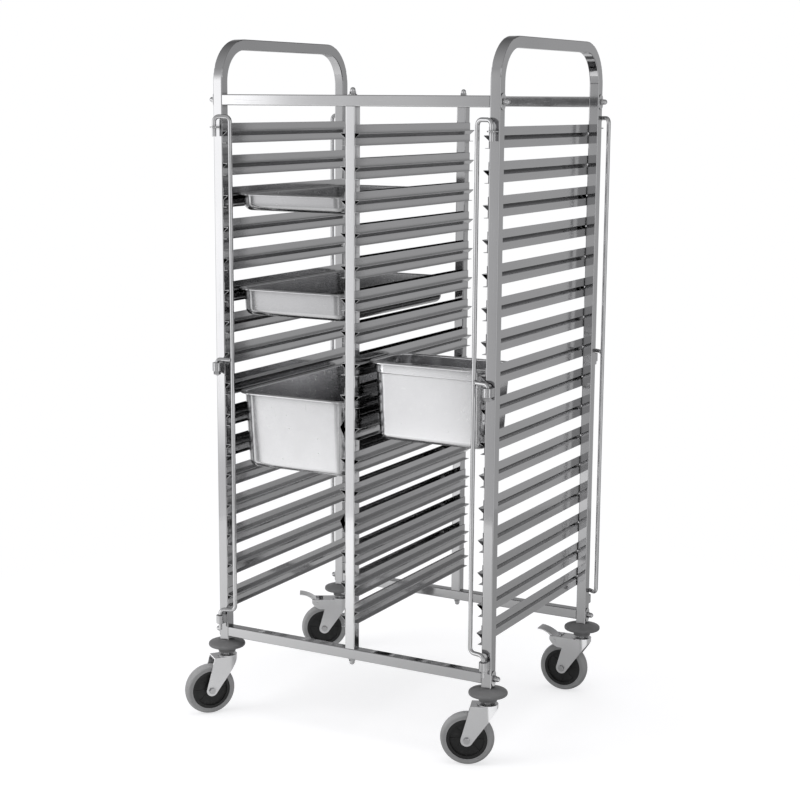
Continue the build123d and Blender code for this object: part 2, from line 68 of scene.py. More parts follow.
MM = 0.001
UP = Vector((0, 0, 1))
ORIGIN = Vector((0, 0, 0))
POST_X = 357.5 * MM
POST_Y = 277.5 * MM
BAR_Y = 305 * MM
COLLAR_Z = 857.9 * MM
BLUE_CAST = 1.01


class Corner(Enum):
    """Corner of the trolley: side, face, and the heading in which its caster trails."""

    FRONT_LEFT = (-1, -1, 232.0)
    FRONT_RIGHT = (1, -1, 202.0)
    BACK_LEFT = (-1, 1, 211.0)
    BACK_RIGHT = (1, 1, 183.0)

    @property
    def label(self) -> str:
        """Name of the corner as the frame's nodes and bodies use it."""
        return self.name.lower()

    @property
    def axis(self) -> Vector:
        """Foot of the post's axis on the floor."""
        return Vector((self.value[0] * POST_X, self.value[1] * POST_Y, 0))

    @property
    def pin(self) -> Vector:
        """Foot of the retaining bar's axis on the floor."""
        return Vector((self.value[0] * POST_X, self.value[1] * BAR_Y, 0))

    @property
    def braked(self) -> bool:
        """Whether this caster has a foot brake."""
        return self.value[1] > 0


def alone(obj: Piece) -> None:
    """Select one object and nothing else, and make it active.

    Args:
        obj: The object to work on.
    """
    bpy.ops.object.select_all(action="DESELECT")
    obj.select_set(True)
    bpy.context.view_layer.objects.active = obj


def primitive(
    name: str, add: Callable[..., object], scale: Sequence[float] = (1, 1, 1), **settings: object
) -> Piece:
    """Add a primitive, name it, and put its place, turn and scale into its mesh.

    Args:
        name: Name of the new object.
        add: The operator that adds it.
        scale: Its scale.
        settings: The operator's settings.

    Returns:
        The new object, selected and active.
    """
    bpy.ops.object.select_all(action="DESELECT")
    add(**settings)
    piece = bpy.context.object
    piece.name = name
    piece.scale = scale
    bpy.ops.object.transform_apply(location=True, rotation=True, scale=True)
    return piece


@contextmanager
def editing(obj: Piece, kind: str = "FACE") -> Iterator[None]:
    """Edit mode on one object, with all of it selected at the start.

    Args:
        obj: The object to edit.
        kind: What is selected: VERT, EDGE or FACE.

    Returns:
        A context in which the object is edited.
    """
    alone(obj)
    bpy.ops.object.mode_set(mode="EDIT")
    bpy.ops.mesh.select_mode(type=kind)
    bpy.ops.mesh.select_all(action="SELECT")
    yield
    bpy.ops.object.mode_set(mode="OBJECT")


def pick(obj: Piece, kind: str, test: Callable[..., bool]) -> None:
    """Select the vertices or faces of the edited mesh that pass a test on their place or normal.

    Args:
        obj: The object in edit mode.
        kind: Which elements are tested: verts or faces.
        test: Called with each element.
    """
    bpy.ops.mesh.select_all(action="DESELECT")
    mesh = bmesh.from_edit_mesh(obj.data)
    mesh.normal_update()
    for item in getattr(mesh, kind):
        if test(item):
            item.select_set(True)
    mesh.select_flush_mode()
    bmesh.update_edit_mesh(obj.data)


def weld(obj: Piece, distance: float = 1e-6) -> None:
    """Join the doubled points of a mesh and turn its normals outwards.

    Args:
        obj: The object to clean.
        distance: Points closer than this become one.
    """
    with editing(obj):
        bpy.ops.mesh.remove_doubles(threshold=distance)
        bpy.ops.mesh.normals_make_consistent(inside=False)


def modify(obj: Piece, kind: str, **settings: object) -> None:
    """Add a modifier to a piece and apply it.

    Args:
        obj: The piece.
        kind: Type of the modifier.
        settings: Its settings.
    """
    alone(obj)
    modifier = obj.modifiers.new(kind.lower(), kind)
    for key, value in settings.items():
        setattr(modifier, key, value)
    bpy.ops.object.modifier_apply(modifier=modifier.name)


def smooth(obj: Piece, angle: float = 32.0) -> None:
    """Shade a piece smoothly, except across edges sharper than an angle, and keep its broad faces flat.

    Args:
        obj: The piece.
        angle: The angle.
    """
    alone(obj)
    bpy.ops.object.shade_smooth_by_angle(angle=math.radians(angle))
    modify(obj, "WEIGHTED_NORMAL", keep_sharp=True)


def soften(obj: Piece, width: float, segments: int = 2, angle: float = 32.0) -> None:
    """Round the edges that are sharper than an angle, in so many segments, and shade the rest smoothly."""
    modify(obj, "BEVEL", width=width, segments=segments, limit_method="ANGLE",
           angle_limit=math.radians(angle), use_clamp_overlap=True)
    smooth(obj)


def copy_mesh(obj: Piece, name: str, place: Matrix | None = None) -> Piece:
    """Copy a finished piece with a mesh of its own.

    Args:
        obj: The piece to copy.
        name: Name of the copy.
        place: Turn and shift that go into the copy's mesh.

    Returns:
        The copy, with its object at the origin.
    """
    mesh = obj.data.copy()
    if place is not None:
        mesh.transform(place)
        if place.determinant() < 0:
            mesh.flip_normals()
    twin = bpy.data.objects.new(name, mesh)
    bpy.context.scene.collection.objects.link(twin)
    return twin


def join(name: str, pieces: Sequence[Piece]) -> Piece:
    """Join several meshes into one piece.

    Args:
        name: Name of the piece.
        pieces: The meshes.

    Returns:
        The joined piece.
    """
    alone(pieces[0])
    for piece in pieces[1:]:
        piece.select_set(True)
    bpy.ops.object.join()
    pieces[0].name = name
    return pieces[0]


def metres(outline: Pairs) -> list[tuple[float, float]]:
    """Outline in metres of one in millimetres."""
    return [(radius * MM, height * MM) for radius, height in outline]


def turned(name: str, outline: Pairs, base: Vector, axis: Vector, steps: int) -> Piece:
    """Piece turned from an outline, as on a lathe.

    Args:
        name: Name of the piece.
        outline: Closed outline as (radius, height along the axis).
        base: Point of the axis at height zero.
        axis: Direction of the axis.
        steps: Faces round the axis.

    Returns:
        The turned piece, with clean normals.
    """
    axis = axis.normalized()
    across = axis.orthogonal().normalized()
    points = [base + axis * height + across * radius for radius, height in outline]
    piece = primitive(name, bpy.ops.mesh.primitive_plane_add, size=MM)
    with editing(piece, "VERT"):
        bpy.ops.mesh.merge(type="CENTER")
        bpy.ops.transform.translate(value=points[0])
        for start, end in zip(points, points[1:]):
            bpy.ops.mesh.extrude_region_move(TRANSFORM_OT_translate={"value": end - start})
        bpy.ops.mesh.select_all(action="SELECT")
        bpy.ops.mesh.edge_face_add()
        pick(piece, "faces", lambda face: True)
        bpy.ops.mesh.delete(type="ONLY_FACE")
        bpy.ops.mesh.select_all(action="SELECT")
        bpy.ops.mesh.spin(steps=steps, angle=math.tau, center=base, axis=axis)
    weld(piece, 1e-5)
    return piece


def bent_rod(name: str, corners: Sequence[Vector], radius: float, bend: float = 0.0) -> Piece:
    """Round rod bent along a route.

    Args:
        name: Name of the piece.
        corners: Ends and corners of the route.
        radius: Radius of the rod.
        bend: Radius of each bend, on the rod's axis.

    Returns:
        The rod, with closed ends.
    """
    first = (corners[1] - corners[0]).normalized().to_track_quat("Z", "X").to_euler()
    rod = primitive(name, bpy.ops.mesh.primitive_circle_add, vertices=20, radius=radius, fill_type="NGON",
                    location=corners[0], rotation=first)
    with editing(rod):
        here = corners[0]
        for corner, after in zip(corners[1:-1], corners[2:]):
            before = (corner - here).normalized()
            onward = (after - corner).normalized()
            angle = before.angle(onward)
            setback = bend * math.tan(angle / 2)
            start = corner - before * setback
            axis = before.cross(onward).normalized()
            middle = start + axis.cross(before) * bend
            bpy.ops.mesh.extrude_region_move(TRANSFORM_OT_translate={"value": start - here})
            bpy.ops.mesh.spin(steps=8, angle=-angle, center=middle, axis=axis)
            here = corner + onward * setback
        bpy.ops.mesh.extrude_region_move(TRANSFORM_OT_translate={"value": corners[-1] - here})
    weld(rod, 1e-5)
    return rod


def quarter(radius: float, steps: int) -> list[tuple[float, float]]:
    """Way across and way along of each step round a quarter circle that starts straight along.

    Args:
        radius: Radius of the circle.
        steps: Number of steps.

    Returns:
        Each step's way across and way along.
    """
    angles = [math.radians(90.0 * step / steps) for step in range(steps + 1)]
    ends = [(radius * (1 - math.cos(angle)), radius * math.sin(angle)) for angle in angles]
    return [(after[0] - before[0], after[1] - before[1]) for before, after in zip(ends, ends[1:])]


def grey(value: float) -> tuple[float, float, float, float]:
    """Neutral colour of a linear brightness."""
    return (value, value, value * BLUE_CAST, 1.0)


@dataclass
class Sheet:
    """A node tree being drawn, with short ways to add and join nodes."""

    tree: bpy.types.NodeTree

    def feed(self, node: bpy.types.Node, values: dict) -> None:
        """Set or link the inputs of a node.

        Args:
            node: The node.
            values: Input name or number to a value or to another node's output.
        """
        for key, value in values.items():
            if isinstance(value, Output):
                self.tree.links.new(value, node.inputs[key])
            else:
                node.inputs[key].default_value = value

    def node(self, kind: str, values: dict | None = None, **settings: object) -> bpy.types.Node:
        """Add a node.

        Args:
            kind: Class of the node without its ShaderNode prefix.
            values: Input name or number to a value or to another node's output.
            settings: Properties of the node.

        Returns:
            The new node.
        """
        made = self.tree.nodes.new(f"ShaderNode{kind}")
        for key, value in settings.items():
            setattr(made, key, value)
        self.feed(made, values or {})
        return made

    def noise(self, vector: Output, scale: float, detail: float = 4.0, rough: float = 0.6) -> Output:
        """Noise with so many spots per metre, octaves, and strength of the finer octaves."""
        made = self.node("TexNoise", {"Vector": vector, "Scale": scale, "Detail": detail, "Roughness": rough})
        return made.outputs["Fac"]

    def maths(self, operation: str, *values: object) -> Output:
        """Result of a math node on values or outputs."""
        return self.node("Math", dict(enumerate(values)), operation=operation).outputs[0]

    def ramp(self, value: Output, low: float, high: float, start: float = 0.0, end: float = 1.0) -> Output:
        """Value mapped from the range low to high onto start to end, and clamped."""
        return self.node("MapRange", {0: value, 1: low, 2: high, 3: start, 4: end}).outputs[0]

    def blend(self, factor: object, first: object, second: object) -> Output:
        """Mix of two colours, with the factor as the share of the second."""
        return self.node("Mix", {0: factor, 6: first, 7: second}, data_type="RGBA").outputs[2]

    def profile(self, value: Output, stops: Pairs) -> Output:
        """Read a brightness off a ramp round the horizon.

        Args:
            value: Azimuth from 0 at -180 degrees to 1 at 180 degrees.
            stops: Azimuth in degrees and brightness of each stop.

        Returns:
            The brightness.
        """
        made = self.node("ValToRGB", {0: value})
        ramp = made.color_ramp
        ramp.interpolation = "EASE"
        for place, (angle, bright) in enumerate(stops):
            spot = ramp.elements[place] if place < 2 else ramp.elements.new(angle / 360 + 0.5)
            spot.position = angle / 360 + 0.5
            spot.color = grey(bright)
        return made.outputs["Color"]


class Effects:
    """Shader node groups that several finishes share."""

    MASK = {"Mask": "Float"}
    SURFACE = {"Color": "Color", "Roughness": "Float", "Height": "Float"}

    def __init__(self) -> None:
        """Draw every group."""
        self.steel = self._steel()
        self.edges = self._edges()
        self.moulded = self._moulded()
        self.folds = self._folds()

    def _start(
        self, name: str, inputs: dict[str, str], outputs: dict[str, str]
    ) -> tuple[Sheet, bpy.types.NodeOutputs, bpy.types.Node]:
        """Begin a node group.

        Args:
            name: Name of the group.
            inputs: Name and kind of each input.
            outputs: Name and kind of each output.

        Returns:
            The sheet to draw on, what the group is given, and its output node.
        """
        tree = bpy.data.node_groups.new(name, "ShaderNodeTree")
        for way, sockets in (("INPUT", inputs), ("OUTPUT", outputs)):
            for label, kind in sockets.items():
                tree.interface.new_socket(name=label, in_out=way, socket_type=f"NodeSocket{kind}")
        return Sheet(tree), tree.nodes.new("NodeGroupInput").outputs, tree.nodes.new("NodeGroupOutput")

    def _steel(self) -> bpy.types.NodeTree:
        """Brushed sheet steel: grain drawn along one way, broad clouding, and a few longer scratches.

        Returns:
            The group.
        """
        tones = {"Dark": "Color", "Light": "Color", "Polished": "Float", "Dull": "Float"}
        sheet, given, result = self._start("brushed_steel", {"Stretch": "Vector", **tones}, self.SURFACE)
        place = sheet.node("TexCoord").outputs["Object"]
        drawn = sheet.node("VectorMath", {0: place, 1: given["Stretch"]}, operation="MULTIPLY").outputs[0]
        grain = sheet.noise(drawn, 1.0, 5.0, 0.7)
        scratch = sheet.ramp(sheet.noise(drawn, 0.31, 2.0, 0.5), 0.63, 0.72)
        cloud = sheet.noise(place, 5.0, 3.0, 0.55)
        smear = sheet.noise(place, 31.0)
        tone = sheet.maths("MULTIPLY_ADD", cloud, 0.55, sheet.maths("MULTIPLY", grain, 0.45))
        dullness = sheet.maths("MULTIPLY_ADD", smear, 0.6, sheet.maths("MULTIPLY", grain, 0.4))
        span = sheet.maths("SUBTRACT", given["Dull"], given["Polished"])
        rough = sheet.maths("MULTIPLY_ADD", sheet.ramp(dullness, 0.35, 0.68), span, given["Polished"])
        sheet.feed(result, {
            "Color": sheet.blend(sheet.ramp(tone, 0.25, 0.75), given["Dark"], given["Light"]),
            "Roughness": sheet.maths("MULTIPLY_ADD", scratch, 0.08, rough),
            "Height": sheet.maths("MULTIPLY_ADD", scratch, -0.35, grain),
        })
        return sheet.tree

    def _edges(self) -> bpy.types.NodeTree:
        """Mask of the edges that hands and neighbours rub bright, and that also carry a painted highlight,
        broken up by noise.

        Returns:
            The group.
        """
        sheet, _, result = self._start("rubbed_and_highlit_edges", {}, self.MASK)
        rounded = sheet.node("Bevel", {"Radius": 0.8 * MM}, samples=4).outputs["Normal"]
        flat = sheet.node("NewGeometry").outputs["Normal"]
        match = sheet.node("VectorMath", {0: rounded, 1: flat}, operation="DOT_PRODUCT").outputs["Value"]
        place = sheet.node("TexCoord").outputs["Object"]
        broken = sheet.ramp(sheet.noise(place, 140.0), 0.35, 0.6, 0.25, 1.0)
        sheet.feed(result, {"Mask": sheet.maths("MULTIPLY", sheet.ramp(match, 0.995, 0.85), broken)})
        return sheet.tree

    def _folds(self) -> bpy.types.NodeTree:
        """Mask of the folds and inner corners, from ambient occlusion, where shade is painted into the
        colour.

        Returns:
            The group.
        """
        sheet, given, result = self._start("fold_shade_mask", {"Reach": "Float"}, self.MASK)
        open_sky = sheet.node("AmbientOcclusion", {"Distance": given["Reach"]}, samples=6).outputs["AO"]
        place = sheet.node("TexCoord").outputs["Object"]
        patchy = sheet.ramp(sheet.noise(place, 60.0), 0.3, 0.7, 0.85, 1.0)
        sheet.feed(result, {"Mask": sheet.maths("MULTIPLY", sheet.ramp(open_sky, 0.88, 0.55), patchy)})
        return sheet.tree

    def _moulded(self) -> bpy.types.NodeTree:
        """Moulded rubber or plastic: fine pebble, soft clouding and pale scuffs.

        Returns:
            The group.
        """
        inputs = {"Dark": "Color", "Light": "Color", "Scuff": "Color", "Scuffed": "Float", "Dull": "Float"}
        sheet, given, result = self._start("moulded_surface", inputs, self.SURFACE)
        place = sheet.node("TexCoord").outputs["Object"]
        pebble = sheet.noise(place, 1400.0, 2.0, 0.5)
        marks = sheet.noise(place, 90.0, 6.0, 0.7)
        scuff = sheet.maths("MULTIPLY", sheet.ramp(marks, 0.55, 0.72), given["Scuffed"])
        cloud = sheet.ramp(sheet.noise(place, 18.0), 0.32, 0.68)
        colour = sheet.blend(cloud, given["Dark"], given["Light"])
        sheet.feed(result, {
            "Color": sheet.blend(scuff, colour, given["Scuff"]),
            "Roughness": sheet.maths("ADD", given["Dull"], sheet.ramp(marks, 0.3, 0.7, -0.08, 0.12)),
            "Height": sheet.maths("MULTIPLY_ADD", pebble, 0.5, sheet.maths("MULTIPLY", marks, 0.5)),
        })
        return sheet.tree


class Grain(Enum):
    """Way in which a steel surface was brushed, as noise scale along X, Y and Z in spots per metre."""

    ALONG_X = (30.0, 900.0, 900.0)
    ALONG_Y = (900.0, 30.0, 900.0)
    ALONG_Z = (900.0, 900.0, 30.0)
    ROUND = (420.0, 420.0, 420.0)


@dataclass(frozen=True)
class Coat:
    """What every finish has.

    Attributes:
        name: Name of the material.
        slot: The record's slot of the pieces that wear it.
        dark: Linear tone of its darker clouds.
        light: Linear tone of its lighter clouds.
    """

    name: str
    slot: str
    dark: float
    light: float

    def make(self, effects: Effects) -> bpy.types.Material:
        """Draw the material.

        Args:
            effects: The shared node groups.

        Returns:
            The material.
        """
        material = bpy.data.materials.new(self.name)
        material.use_nodes = True
        sheet = Sheet(material.node_tree)
        sheet.feed(sheet.tree.nodes["Principled BSDF"], self.surface(sheet, effects))
        return material

    def surface(self, sheet: Sheet, effects: Effects) -> dict[str, object]:
        """Each kind of finish draws its own."""
        raise NotImplementedError


@dataclass(frozen=True)
class SteelFinish(Coat):
    """Bare or plated metal.

    Attributes:
        polished: Roughness where it is brightest.
        dull: Roughness where it is dullest.
        grain: Way in which it was brushed.
        relief: Depth of the grain.
        edge_wear_and_highlight: Linear tone of its edges, partly wear and partly painted highlight.
        fold_shade_strength: How strongly painted shade darkens it in its folds and inner corners.
        reach: How far a fold's neighbour may stand.
    """

    polished: float
    dull: float
    grain: Grain = Grain.ROUND
    relief: float = 4e-5
    edge_wear_and_highlight: float = 0.75
    fold_shade_strength: float = 0.5
    reach: float = 0.008

    def surface(self, sheet: Sheet, effects: Effects) -> dict[str, object]:
        """Draw what the Principled node is given.

        Args:
            sheet: The material's sheet.
            effects: The shared node groups.

        Returns:
            The node's inputs.
        """
        steel = sheet.node("Group", {
            "Stretch": self.grain.value,
            "Dark": grey(self.dark), "Light": grey(self.light),
            "Polished": self.polished, "Dull": self.dull,
        }, node_tree=effects.steel).outputs
        rubbed = sheet.node("Group", node_tree=effects.edges).outputs["Mask"]
        folds = sheet.node("Group", {"Reach": self.reach}, node_tree=effects.folds).outputs["Mask"]
        # Edges are lightened towards one tone: partly wear, partly painted highlight.
        clean = sheet.blend(rubbed, steel["Color"], grey(self.edge_wear_and_highlight))
        # Painted shade: in folds and inner corners found by ambient occlusion, the colour is darkened towards
        # near black.
        shade_tone = grey(0.03)
        bump = sheet.node("Bump", {"Height": steel["Height"], "Strength": 0.35, "Distance": self.relief})
        return {
            "Metallic": 1.0,
            "Base Color": sheet.blend(sheet.maths("MULTIPLY", folds, self.fold_shade_strength), clean, shade_tone),
            "Roughness": steel["Roughness"],
            "Normal": bump.outputs["Normal"],
        }


@dataclass(frozen=True)
class MouldedFinish(Coat):
    """Moulded rubber or plastic.

    Attributes:
        scuff: Linear tone of its scuffs.
        scuffed: How strongly the scuffs show.
        dull: Roughness.
        relief: Depth of the pebble.
    """

    scuff: float
    scuffed: float
    dull: float
    relief: float = 8e-5

    def surface(self, sheet: Sheet, effects: Effects) -> dict[str, object]:
        """Draw what the Principled node is given.

        Args:
            sheet: The material's sheet.
            effects: The shared node groups.

        Returns:
            The node's inputs.
        """
        moulded = sheet.node("Group", {
            "Dark": grey(self.dark), "Light": grey(self.light), "Scuff": grey(self.scuff),
            "Scuffed": self.scuffed, "Dull": self.dull,
        }, node_tree=effects.moulded).outputs
        edges = sheet.node("Group", node_tree=effects.edges).outputs["Mask"]
        rubbed = sheet.maths("MULTIPLY", edges, 0.5)
        bump = sheet.node("Bump", {"Height": moulded["Height"], "Strength": 0.4, "Distance": self.relief})
        return {
            "Specular IOR Level": 0.4,
            "Base Color": sheet.blend(rubbed, moulded["Color"], grey(self.scuff)),
            "Roughness": moulded["Roughness"],
            "Normal": bump.outputs["Normal"],
        }


class Finish(Enum):
    """Every finish on the trolley."""

    # The tubes are one steel, but the left end frame and the front centre post wear darker and paler copies
    # of it: painted shade and painted light.
    POST = SteelFinish("post_steel", "tube", 0.52, 0.58, 0.05, 0.08, Grain.ALONG_Z, 6e-6)
    PALE_POST = SteelFinish("lit_post_steel", "tube", 0.74, 0.82, 0.05, 0.08, Grain.ALONG_Z, 6e-6)
    DEEP_POST = SteelFinish("shaded_post_steel", "tube", 0.46, 0.52, 0.05, 0.08, Grain.ALONG_Z, 6e-6)
    RAIL = SteelFinish("rail_steel", "tube", 0.52, 0.58, 0.05, 0.08, Grain.ALONG_X, 6e-6)
    # The fold shade strength paints shade into the runners' grooves and, over a long reach, into the pans.
    RUNNER = SteelFinish("runner_steel", "runner", 0.53, 0.58, 0.09, 0.13, Grain.ALONG_Y, 6e-6, fold_shade_strength=0.3)
    # The four pans are one pressed steel; the shallow and medium pans wear darker copies and the shouldered
    # pan a paler one: painted shade and painted light.
    PAN = SteelFinish("pan_steel", "pan", 0.66, 0.9, 0.17, 0.23, relief=2e-6, fold_shade_strength=0.6, reach=0.12)
    MEDIUM_PAN = SteelFinish("shaded_medium_pan_steel", "pan", 0.48, 0.6, 0.17, 0.23, relief=2e-6, reach=0.06)
    SHALLOW_PAN = SteelFinish("shaded_shallow_pan_steel", "pan", 0.38, 0.48, 0.17, 0.23, relief=2e-6, fold_shade_strength=0.2)
    BRIGHT_PAN = SteelFinish(
        "lit_pan_steel", "pan", 0.82, 0.98, 0.17, 0.23, relief=2e-6, fold_shade_strength=0.6, reach=0.12
    )
    ROD = SteelFinish("rod_steel", "rod", 0.58, 0.66, 0.08, 0.14, Grain.ALONG_Z, 1e-5)
    BRACKET = SteelFinish("bracket_steel", "bracket", 0.5, 0.6, 0.18, 0.28)
    FASTENER = SteelFinish("fastener_steel", "fastener", 0.58, 0.68, 0.08, 0.14, relief=1e-5)
    # On the forks the edge tone is near white: painted highlight lines along the edges and creases.
    ZINC = SteelFinish("fork_zinc", "zinc", 0.84, 0.95, 0.12, 0.2, relief=1e-5, edge_wear_and_highlight=0.98)
    WELD = SteelFinish("weld_steel", "runner", 0.9, 0.97, 0.25, 0.4, fold_shade_strength=0.0)
    PLUG = SteelFinish("plug_steel", "plug", 0.3, 0.4, 0.3, 0.5)
    TYRE = MouldedFinish("tyre_rubber", "tyre", 0.31, 0.37, 0.46, 0.3, 0.62)
    HUB = MouldedFinish("hub_plastic", "hub", 0.012, 0.02, 0.09, 0.25, 0.42)
    BUMPER = MouldedFinish("bumper_plastic", "bumper", 0.14, 0.18, 0.3, 0.3, 0.5)


@dataclass
class Wardrobe:
    """Makes each finish once and hands it out.

    Attributes:
        effects: The shared node groups.
        made: The materials made so far.
    """

    effects: Effects
    made: dict[Finish, bpy.types.Material] = field(default_factory=dict)

    def wear(self, obj: Piece, finish: Finish) -> None:
        """Give a piece its finish.

        Args:
            obj: The piece, or a CAD node that stays.
            finish: The finish to wear.
        """
        if finish not in self.made:
            self.made[finish] = finish.value.make(self.effects)
        if obj.material_slots:
            for place in obj.material_slots:
                place.link = "OBJECT"
                place.material = self.made[finish]
        else:
            obj.data.materials.append(self.made[finish])

    def stand_in(self, obj: Piece, finish: Finish, body: str, *nodes: str) -> None:
        """Dress a new piece, let it ride on a body and stand for the CAD nodes it replaces.

        Args:
            obj: The piece.
            finish: The finish to wear.
            body: Body it rides on.
            nodes: CAD nodes it stands for.
        """
        obj.data.materials.clear()
        self.wear(obj, finish)
        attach(obj, body)
        if nodes:
            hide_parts(*nodes)
        log.info("%s: %d faces on %s", obj.name, len(obj.data.polygons), body)


@dataclass
class Studio:
    """Floor, light and camera of the photograph.

    Attributes:
        eye: Place of the camera.
        yaw: Turn of the view towards -X.
        pitch: Tilt of the view.
        roll: Turn of the picture.
        focal: Focal length in pixels of an 800 pixel frame.
        walls: Brightness of the surroundings by azimuth, in degrees from -Y towards -X.
        window: Brightness of the soft box among them, by azimuth.
    """

    eye: tuple[float, float, float] = (1.9247, -3.5901, 1.4972)
    yaw: float = 28.517
    pitch: float = -10.086
    roll: float = 0.365
    focal: float = 1686.2
    walls: Pairs = (
        (-180, 0.5), (-158, 0.49), (-142, 0.47), (-128, 0.4), (-110, 0.35), (-92, 0.4), (-82, 1.2),
        (-66, 1.2), (-56, 0.42), (-36, 0.45), (-24, 0.48), (-12, 0.48), (-9, 1.2), (-5, 1.2), (-2, 0.46),
        (21, 0.5), (24, 0.55), (29, 0.78), (34, 0.98), (70, 0.95), (84, 0.35), (100, 0.3), (112, 1.1),
        (130, 1.0), (145, 0.45), (180, 0.5),
    )
    window: Pairs = ((-180, 0.0), (32.2, 0.0), (33.0, 0.9), (56, 0.9), (62, 0.0), (180, 0.0))

    def build(self) -> None:
        """Set up everything that isn't the trolley."""
        self._camera()
        self._floor()
        self._world()
        self._lamp("key", Vector((-2.6, -2.8, 2.6)), Vector((0, 0, 0.8)), 2.2, 60.0)
        self._lamp("top", Vector((0.2, -0.3, 4.2)), Vector((0, 0, 0.6)), 3.0, 70.0)
        bpy.context.scene.view_settings.view_transform = "Standard"

    def _camera(self) -> None:
        """Camera at the photograph's angle."""
        data = bpy.data.cameras.new("camera")
        data.sensor_width = 36.0
        data.lens = self.focal * data.sensor_width / 800.0
        camera = bpy.data.objects.new("camera", data)
        yaw, pitch = math.radians(self.yaw), math.radians(self.pitch)
        level = math.cos(pitch)
        ahead = Vector((-math.sin(yaw) * level, math.cos(yaw) * level, math.sin(pitch)))
        turn = ahead.to_track_quat("-Z", "Y").to_matrix().to_4x4()
        roll = Matrix.Rotation(math.radians(self.roll), 4, "Z")
        camera.matrix_world = Matrix.Translation(self.eye) @ turn @ roll
        bpy.context.scene.collection.objects.link(camera)
        bpy.context.scene.camera = camera

    def _floor(self) -> None:
        """Pale floor that shows white to the camera and keeps the shadow; to every other ray it shows painted
        light, paler to the left and with a bright strip on the right.
        """
        floor = primitive(
            "floor", bpy.ops.mesh.primitive_circle_add, vertices=96, radius=2.4, fill_type="NGON"
        )
        material = bpy.data.materials.new("floor_paper")
        material.use_nodes = True
        sheet = Sheet(material.node_tree)
        place = sheet.node("TexCoord").outputs["Object"]
        parts = sheet.node("SeparateXYZ", {0: place}).outputs
        # Painted light: the colour seen by every ray but the camera's is paler towards the left and carries a
        # bright strip on the right, for the steel to mirror.
        left = sheet.ramp(parts["X"], -0.75, 0.0, 0.98, 0.64)
        middle = sheet.maths("SUBTRACT", left, sheet.ramp(parts["X"], 0.1, 0.4, 0.0, 0.14))
        near_edge = sheet.ramp(parts["X"], 0.52, 0.57, 0.0, 0.5)
        far_edge = sheet.ramp(parts["X"], 0.85, 1.0, 1.0, 0.2)
        back_edge = sheet.ramp(parts["Y"], 0.2, 0.32, 1.0, 0.0)
        painted_strip = sheet.maths("MULTIPLY", sheet.maths("MULTIPLY", near_edge, far_edge), back_edge)
        paper = material.node_tree.nodes["Principled BSDF"]
        tone = sheet.maths("ADD", middle, painted_strip)
        sheet.feed(paper, {"Base Color": tone, "Roughness": 0.9, "Specular IOR Level": 0.0})
        shadow = sheet.node("BsdfDiffuse", {"Color": grey(0.42)}).outputs[0]
        glow = sheet.node("Emission", {"Color": grey(1.0), "Strength": 0.68}).outputs[0]
        white = sheet.node("Emission", {"Color": grey(1.0), "Strength": 1.0}).outputs[0]
        near = sheet.node("AddShader", {0: shadow, 1: glow}).outputs[0]
        reach = sheet.node("VectorMath", {0: place}, operation="LENGTH").outputs["Value"]
        shown = sheet.node("MixShader", {0: sheet.ramp(reach, 0.75, 1.7), 1: near, 2: white}).outputs[0]
        camera = sheet.node("LightPath").outputs["Is Camera Ray"]
        seen = sheet.node("MixShader", {0: camera, 1: paper.outputs[0], 2: shown}).outputs[0]
        sheet.feed(sheet.tree.nodes["Material Output"], {"Surface": seen})
        floor.data.materials.append(material)

    def _world(self) -> None:
        """Surroundings: white to the camera, an even fill to dull surfaces, a room with a window to steel."""
        world = bpy.data.worlds.new("studio")
        bpy.context.scene.world = world
        world.use_nodes = True
        sheet = Sheet(world.node_tree)
        world.node_tree.nodes.clear()
        way = sheet.node("TexCoord").outputs["Generated"]
        facing = sheet.node("VectorMath", {0: way, 1: (-1.0, -1.0, 1.0)}, operation="MULTIPLY").outputs[0]
        parts = sheet.node("SeparateXYZ", {0: facing}).outputs
        azimuth = sheet.ramp(sheet.maths("ARCTAN2", parts["X"], parts["Y"]), -math.pi, math.pi)
        overhead = sheet.ramp(parts["Z"], 0.12, 0.5)
        ceiling = sheet.ramp(parts["Y"], -0.6, 0.6, 0.15, 0.5)
        room = sheet.blend(overhead, sheet.profile(azimuth, self.walls), ceiling)
        sill = sheet.ramp(parts["Z"], -0.21, -0.16)
        lintel = sheet.ramp(parts["Z"], 0.06, 0.3, 1.0, 0.0)
        height = sheet.maths("MULTIPLY", sill, lintel)
        window = sheet.maths("MULTIPLY", sheet.profile(azimuth, self.window), height)
        rays = sheet.node("LightPath").outputs
        around, fill, backdrop = (
            sheet.node("Background", {"Color": grey(1.0), "Strength": strength}).outputs[0]
            for strength in (sheet.maths("ADD", room, window), 0.55, 1.0)
        )
        lit = sheet.node("MixShader", {0: rays["Is Glossy Ray"], 1: fill, 2: around}).outputs[0]
        seen = sheet.node("MixShader", {0: rays["Is Camera Ray"], 1: lit, 2: backdrop}).outputs[0]
        sheet.node("OutputWorld", {"Surface": seen})

    def _lamp(self, name: str, place: Vector, aim: Vector, size: float, power: float) -> None:
        """Large soft box that the steel doesn't mirror.

        Args:
            name: Name of the lamp.
            place: Where it hangs.
            aim: Point it shines at.
            size: Length of its sides.
            power: Power in watts.
        """
        data = bpy.data.lights.new(name, "AREA")
        data.shape = "SQUARE"
        data.size = size
        data.energy = power
        lamp = bpy.data.objects.new(name, data)
        lamp.location = place
        lamp.visible_glossy = False
        lamp.rotation_euler = (aim - place).to_track_quat("-Z", "Y").to_euler()
        bpy.context.scene.collection.objects.link(lamp)


